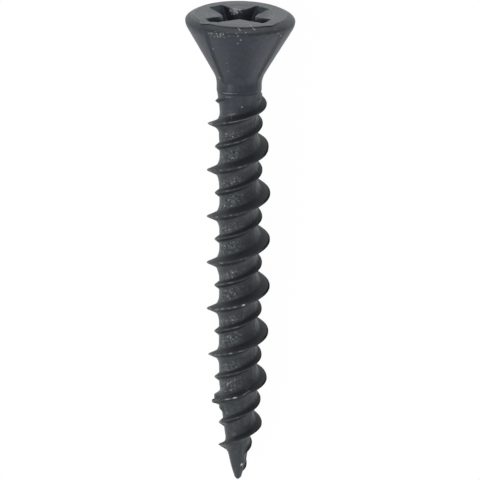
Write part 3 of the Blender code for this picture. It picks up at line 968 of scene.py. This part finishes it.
# The coat's pattern, step by step. Sizes of patterns are in 1/mm, since places are in mm.
COAT_STEPS = (
    ("on_face", "FADE", "z", -0.04, -0.01),
    # the lit left side, where the crests get a painted highlight
    ("lit_left_side", "FADE", "x", 0.9, -0.1),
    # Cloudy tone 1 to 3 mm across, patches of about 0.3 mm and a grain of about 0.1 mm, which is
    # coarser than the real crystals, so that it shows
    ("cloud_noise", "NOISE", "place", 0.7, 2.0),
    ("cloud", "FADE", "cloud_noise", 0.38, 0.62, 0.0, 0.65),
    ("patch", "NOISE", "place", 3.2, 3.0, 0.6),
    ("grain", "NOISE", "place", 10.0, 2.0, 0.6),
    ("thin_share", "FADE", "patch", 0.45, 0.75, 0.0, 0.6),
    ("rolled", "FADE", "z", -4.2, -7.0, 0.0, 0.8),
    ("second_share", "MAXIMUM", "cloud", "rolled"),
    ("sound", "MIX", "second_share", "coat", "green"),
    ("clouded", "MIX", "thin_share", "sound", "thin"),
    # The face is lighter than the rest of the coat: a painted reflection of the pale floor
    ("face_reflection_share", "MULTIPLY", "on_face", 0.8),
    ("faced", "MIX", "face_reflection_share", "clouded", "face"),
    # The flanks are darker than the roots: painted shade between the thread's turns
    ("off_root", "FADE", "relief", 0.10, 0.40),
    ("off_crest", "FADE", "relief", 0.97, 0.85),
    ("flank", "MULTIPLY", "off_root", "off_crest"),
    ("flank_shade_share", "MULTIPLY", "flank", 0.75),
    ("flank_shaded", "MIX", "flank_shade_share", "faced", "painted_shade"),
    # The front of the edge above the widest ring is darkened too: painted shade
    ("above_rim", "FADE", "z", -0.44, -0.36),
    ("below_face", "FADE", "z", -0.02, -0.06, 0.0, 0.35),
    ("in_front", "FADE", "front", 1.4, 2.3),
    ("front_rim", "MULTIPLY", "above_rim", "in_front"),
    ("crown_shade_share", "MULTIPLY", "front_rim", "below_face"),
    ("dressed", "MIX", "crown_shade_share", "flank_shaded", "painted_shade"),
    # Where rolling folded the steel: painted shade in the creases, with bright bits between them
    # that are painted glints and lighter specks of coat; the folds are lightened too, by thin coat
    # and painted sheen
    ("crystals", "SQUARE CELLS", "place", 5.0),
    ("bits", "FADE", "crystals", 0.58, 0.28),
    ("fold", "NOISE", "place", 6.0, 3.0, 0.65, 0.6),
    ("fold_high", "FADE", "fold", 0.46, 0.58),
    ("fold_low", "FADE", "fold", 0.46, 0.36),
    ("folded", "MULTIPLY", "crinkled", "fold_high"),
    ("creased", "MULTIPLY", "crinkled", "fold_low"),
    ("crease_share", "MULTIPLY", "creased", 0.30),
    ("crease_shaded", "MIX", "crease_share", "dressed", "painted_shade"),
    ("sparkle", "MULTIPLY", "folded", "bits"),
    ("bare_and_sheen", "MULTIPLY", "crinkled", 0.03),
    ("fold_bare_and_sheen", "MULTIPLY_ADD", "folded", 0.16, "bare_and_sheen"),
    # The small bits of the patches: worn coat, and painted glints
    ("fine_crystals", "CELLS", "place", 7.0),
    ("fine_bits", "FADE", "fine_crystals", 0.50, 0.22),
    ("scraped", "FADE", "fold", 0.38, 0.58),
    ("scraped_and_glint_bits", "MULTIPLY", "fine_bits", "scraped"),
    # The lands on the right are darkened nearly to black: painted shade
    ("sideways", "DIVIDE", "x", "radius"),
    ("right_side", "FADE", "sideways", 0.70, 0.92),
    ("land", "FADE", "relief", 0.86, 0.92),
    ("right_land_shade", "MULTIPLY", "land", "right_side"),
    ("folded_coat", "MIX", "right_land_shade", "crease_shaded", "black"),
    # Where the coat is rubbed thin, on crests and edges, with painted highlights: on the crests
    # only on the lit left side, and along the recess's mouth
    ("crest_patches", "FADE", "patch", 0.49, 0.63),
    ("near_crest", "FADE", "relief", 0.93, 0.995),
    ("far_out", "FADE", "radius", 1.50, 1.85, 0.5),
    ("left_crest", "MULTIPLY", "near_crest", "lit_left_side"),
    ("crest_side", "MULTIPLY", "left_crest", "far_out"),
    ("crest", "MULTIPLY", "crest_side", "crest_patches"),
    ("edge_patches", "FADE", "patch", 0.35, 0.65),
    ("edge", "MULTIPLY", "edge_worn_and_sheen", "edge_patches"),
    ("crest_wear_and_highlight", "MULTIPLY", "crest", 0.30),
    ("edge_wear_and_highlight", "MULTIPLY", "edge", 0.13),
    # the folds' painted glints and sheen, with their thin coat
    ("fold_wear_and_glint", "MULTIPLY_ADD", "sparkle", 0.45, "fold_bare_and_sheen"),
    ("rubs_and_highlights", "MAXIMUM", "crest_wear_and_highlight", "edge_wear_and_highlight"),
    ("wear_and_highlight", "MAXIMUM", "rubs_and_highlights", "fold_wear_and_glint"),
    # What the roughness and the fine relief need: turning marks on the face are 0.22 mm apart
    ("grain_mid", "SUBTRACT", "grain", 0.5),
    ("crinkle_fold", "MULTIPLY", "fold", "crinkled"),
    ("turns", "MULTIPLY", "radius", 2 * math.pi / 0.22),
    ("circles", "SINE", "turns"),
    ("face_circles", "MULTIPLY", "circles", "on_face"),
)
# Roughness: how much each adds to the coat's own
ROUGHNESS = (("grain_mid", 0.25), ("folded", -0.18), ("flank", 0.15), ("on_face", -0.05),
             ("right_land_shade", 0.5), ("wear_and_highlight", -0.12))
# Relief too fine for the mesh, in mm
FINE_RELIEF = (("grain", 0.006), ("crystals", 0.004), ("crinkle_fold", 0.15),
               ("face_circles", 0.0022), ("wear_and_highlight", -0.004))


def phosphated_steel(material, coat, marks_and_highlights, patches):
    """Black phosphate on cold-rolled steel, oiled.

    The coat is a layer of fine dark crystals: nearly matt, a little cool in colour, and it takes
    the light in a broad soft sheen with small sparkles where rolling has folded the steel. It is
    thin on edges and crests, where handling rubs it to a grey gleam. Its colour also holds painted
    light: painted shade on the flanks, on the crown's front, in the folds' creases and on the lands
    on the right; painted highlights on the lit crests, along the recess's mouth and in some marks;
    painted glints in the folds and the recess; and a painted reflection on the face.
    """
    material.use_nodes = True
    tree = material.node_tree
    shader = tree.nodes["Principled BSDF"]
    back = upright_to_row().inverted()
    # Places in mm in the upright screw's frame
    value = placed_values(tree, add_node(
        tree, "ShaderNodeMapping",
        {"Vector": add_node(tree, "ShaderNodeTexCoord").outputs["Object"],
         "Location": back.translation / MM, "Rotation": back.to_euler("XYZ"),
         "Scale": (1 / MM, 1 / MM, 1 / MM)}))
    for name in ("coat", "green", "thin", "face", "painted_shade", "black", "worn_and_highlight"):
        value[name] = getattr(coat, name)
    for name, attribute in (("relief", "relief"), ("crinkled", "crinkled"), ("edge_worn_and_sheen", "worn_and_highlight")):
        value[name] = add_node(tree, "ShaderNodeAttribute", attribute_name=attribute).outputs["Fac"]
    add_steps(tree, COAT_STEPS, value)

    # A mark shows as it is, and a patch only in its small bits
    group = step_group("mark", "ShaderNodeTree", MARK_INPUTS, MARK_STEPS, {"Mark": "mark"})
    in_bits = (("mark", "MULTIPLY", "mark", "scraped_and_glint_bits"),)
    for places, steps in ((marks_and_highlights, ()), (patches, in_bits)):
        for start, end, width, strength in places:
            value["mark"] = add_node(
                tree, "ShaderNodeGroup", {"Place": value["place"], "From": start, "To": end,
                                          "Width": width, "Strength": strength}, node_tree=group)
            add_steps(tree, (*steps, ("wear_and_highlight", "MAXIMUM", "wear_and_highlight", "mark")), value)

    value.update(rough=coat.roughness, fine=0.0)
    # The light colour shows the worn coat and, as well, the painted highlights and glints
    steps = [("colour", "MIX", "wear_and_highlight", "folded_coat", "worn_and_highlight")]
    steps += [("rough", "MULTIPLY_ADD", name, share, "rough") for name, share in ROUGHNESS]
    steps += [("fine", "MULTIPLY_ADD", name, height, "fine") for name, height in FINE_RELIEF]
    add_steps(tree, steps, value)
    bump = add_node(tree, "ShaderNodeBump",
                    {"Height": value["fine"], "Distance": MM, "Strength": 1.0})
    tree.links.new(value["colour"].outputs[2], shader.inputs["Base Color"])
    tree.links.new(value["rough"].outputs[0], shader.inputs["Roughness"])
    tree.links.new(bump.outputs[0], shader.inputs["Normal"])
    shader.inputs["Specular Tint"].default_value = coat.gleam


class AddScrew(bpy.types.Operator):
    """Adds the headed, pointed and rolled screw in its black phosphate coat"""
    bl_idname = "mesh.dense_board_screw"
    bl_label = "Add Screw"

    def execute(self, context):
        head, shank = context.scene.screw_head, context.scene.screw_shank
        material = bpy.data.materials.new("black_phosphated_steel")
        blank = blank_mesh(head, shank)
        mesh = rolled_mesh(blank, rolling_tree(material), rolling_values(shank))
        mesh.name = "dense_board_screw"
        shape_up(mesh)
        phosphated_steel(material, context.scene.screw_coat, placed_marks(mesh, MARKS_AND_HIGHLIGHTS),
                         placed_marks(mesh, RUBBED_AND_GLINT_PATCHES))
        mesh.transform(upright_to_row())
        mesh.shade_smooth()
        screw = link_object("dense_board_screw", mesh)
        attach(screw, "root")
        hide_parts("screw")
        return {"FINISHED"}


# The stage

FLOOR_SIZE = 4.0
FLOOR_WHITE = 0.94  # how much of the floor's look is plain white; the rest keeps the shadow
FLOOR_STRENGTH = 1.03
FLOOR_STEPS = (
    ("direct", "MAXIMUM", "Is Camera Ray", "Is Glossy Ray"),
    ("seen", "MAXIMUM", "direct", "Is Transmission Ray"),
    ("share", "MULTIPLY", "seen", FLOOR_WHITE),
)
# Soft boxes: name, direction from the screw (row frame) and level
LIGHTS = (
    ("key", (0.1, -0.75, 0.65), 1.15),
    ("low_front", (0.7, 0.0, 0.7), 0.40),
    ("low_right", (0.7, 0.7, 0.3), 0.50),
    ("low_left", (0.8, -0.5, 0.3), 0.20),
    ("head", (-1.0, 0.0, 0.08), 1.0),
)
LIGHT_DISTANCE = 0.6
LIGHT_SIZE = 0.30
LIGHT_POWER = 4 * math.pi  # watts for each square metre of lamp at level 1
CAMERA_TARGET = (0.105 * MM, 0.0, -14.4666 * MM)  # upright frame
CAMERA_DISTANCE = 500 * MM
CAMERA_ROLL = math.radians(0.259)
SENSOR_WIDTH = 36.0
VIEW_WIDTH = 29.566 * MM  # what the picture spans at the target


def add_floor(stage):
    """A pale matt floor that the camera and reflections see as plain white, with a soft shadow."""
    half = FLOOR_SIZE / 2
    mesh = bpy.data.meshes.new("floor")
    corners = [(-half, -half, 0), (half, -half, 0), (half, half, 0), (-half, half, 0)]
    mesh.from_pydata(corners, [], [(0, 1, 2, 3)])
    material = bpy.data.materials.new("pale_studio_floor")
    material.use_nodes = True
    tree = material.node_tree
    tree.nodes.clear()
    paper = add_node(tree, "ShaderNodeBsdfDiffuse", {"Color": stage.floor})
    white = add_node(tree, "ShaderNodeEmission",
                     {"Color": (1, 1, 1, 1), "Strength": FLOOR_STRENGTH})
    value = dict(add_node(tree, "ShaderNodeLightPath").outputs.items())
    add_steps(tree, FLOOR_STEPS, value)
    mixed = add_node(tree, "ShaderNodeMixShader", [value["share"], paper, white])
    add_node(tree, "ShaderNodeOutputMaterial", {"Surface": mixed})
    mesh.materials.append(material)
    floor = link_object("floor", mesh)


def add_light(stage):
    """A white sky and soft round lamps."""
    world = bpy.data.worlds.new("studio")
    bpy.context.scene.world = world
    world.use_nodes = True
    sky = world.node_tree.nodes["Background"]
    sky.inputs["Color"].default_value = (1, 1, 1, 1)
    sky.inputs["Strength"].default_value = stage.world_light
    for name, direction, level in LIGHTS:
        lamp = bpy.data.lights.new(name, "AREA")
        lamp.shape = "DISK"
        lamp.size = LIGHT_SIZE
        lamp.energy = level * LIGHT_POWER * math.pi * (LIGHT_SIZE / 2) ** 2
        item = link_object(name, lamp)
        way = Vector(direction).normalized()
        item.location = way * LIGHT_DISTANCE
        item.rotation_mode = "QUATERNION"
        item.rotation_quaternion = way.to_track_quat("Z", "Y")


def add_camera(stage):
    """The camera of the photograph, placed from the upright screw and laid down with it."""
    rise = stage.camera_elevation
    back = Vector((0.0, -math.cos(rise), math.sin(rise)))
    up = Vector((0.0, math.sin(rise), math.cos(rise)))
    right = Vector((1.0, 0.0, 0.0))
    turned_right = right * math.cos(CAMERA_ROLL) + up * math.sin(CAMERA_ROLL)
    turned_up = up * math.cos(CAMERA_ROLL) - right * math.sin(CAMERA_ROLL)
    place = Vector(CAMERA_TARGET) + back * CAMERA_DISTANCE
    camera = bpy.data.cameras.new("camera")
    camera.sensor_width = SENSOR_WIDTH
    camera.lens = SENSOR_WIDTH * CAMERA_DISTANCE / VIEW_WIDTH
    camera.clip_start = 10 * MM
    camera.clip_end = 10.0
    item = link_object("camera", camera)
    item.matrix_world = upright_to_row() @ frame_matrix(turned_right, turned_up, back, place)
    bpy.context.scene.camera = item


class SetStage(bpy.types.Operator):
    """Lays the pale floor and sets the light and the camera"""
    bl_idname = "scene.screw_stage"
    bl_label = "Set Stage"

    def execute(self, context):
        stage = context.scene.screw_stage
        add_floor(stage)
        add_light(stage)
        add_camera(stage)
        context.scene.view_settings.view_transform = "Standard"
        return {"FINISHED"}


# The add-on

GROUPS = {"screw_head": HeadSizes, "screw_shank": ShankSizes, "screw_coat": CoatSettings,
          "screw_stage": StageSettings}


class ScrewPanel(bpy.types.Panel):
    """Lists the screw's settings and its two operators"""
    bl_idname = "VIEW3D_PT_dense_board_screw"
    bl_label = "Dense Board Screw"
    bl_space_type = "VIEW_3D"
    bl_region_type = "UI"
    bl_category = "Screw"

    def draw(self, context):
        for name in GROUPS:
            group = getattr(context.scene, name)
            box = self.layout.box()
            box.label(text=name.removeprefix("screw_").title())
            for key in group.bl_rna.properties.keys():
                if key not in ("rna_type", "name"):
                    box.prop(group, key)
        self.layout.operator(AddScrew.bl_idname)
        self.layout.operator(SetStage.bl_idname)


CLASSES = (*GROUPS.values(), AddScrew, SetStage, ScrewPanel)


def register():
    for item in CLASSES:
        bpy.utils.register_class(item)
    for name, group in GROUPS.items():
        setattr(bpy.types.Scene, name, bpy.props.PointerProperty(type=group))


def unregister():
    for name in GROUPS:
        delattr(bpy.types.Scene, name)
    for item in reversed(CLASSES):
        bpy.utils.unregister_class(item)


def main():
    register()
    bpy.ops.mesh.dense_board_screw()
    bpy.ops.scene.screw_stage()


if __name__ == "__main__":
    main()
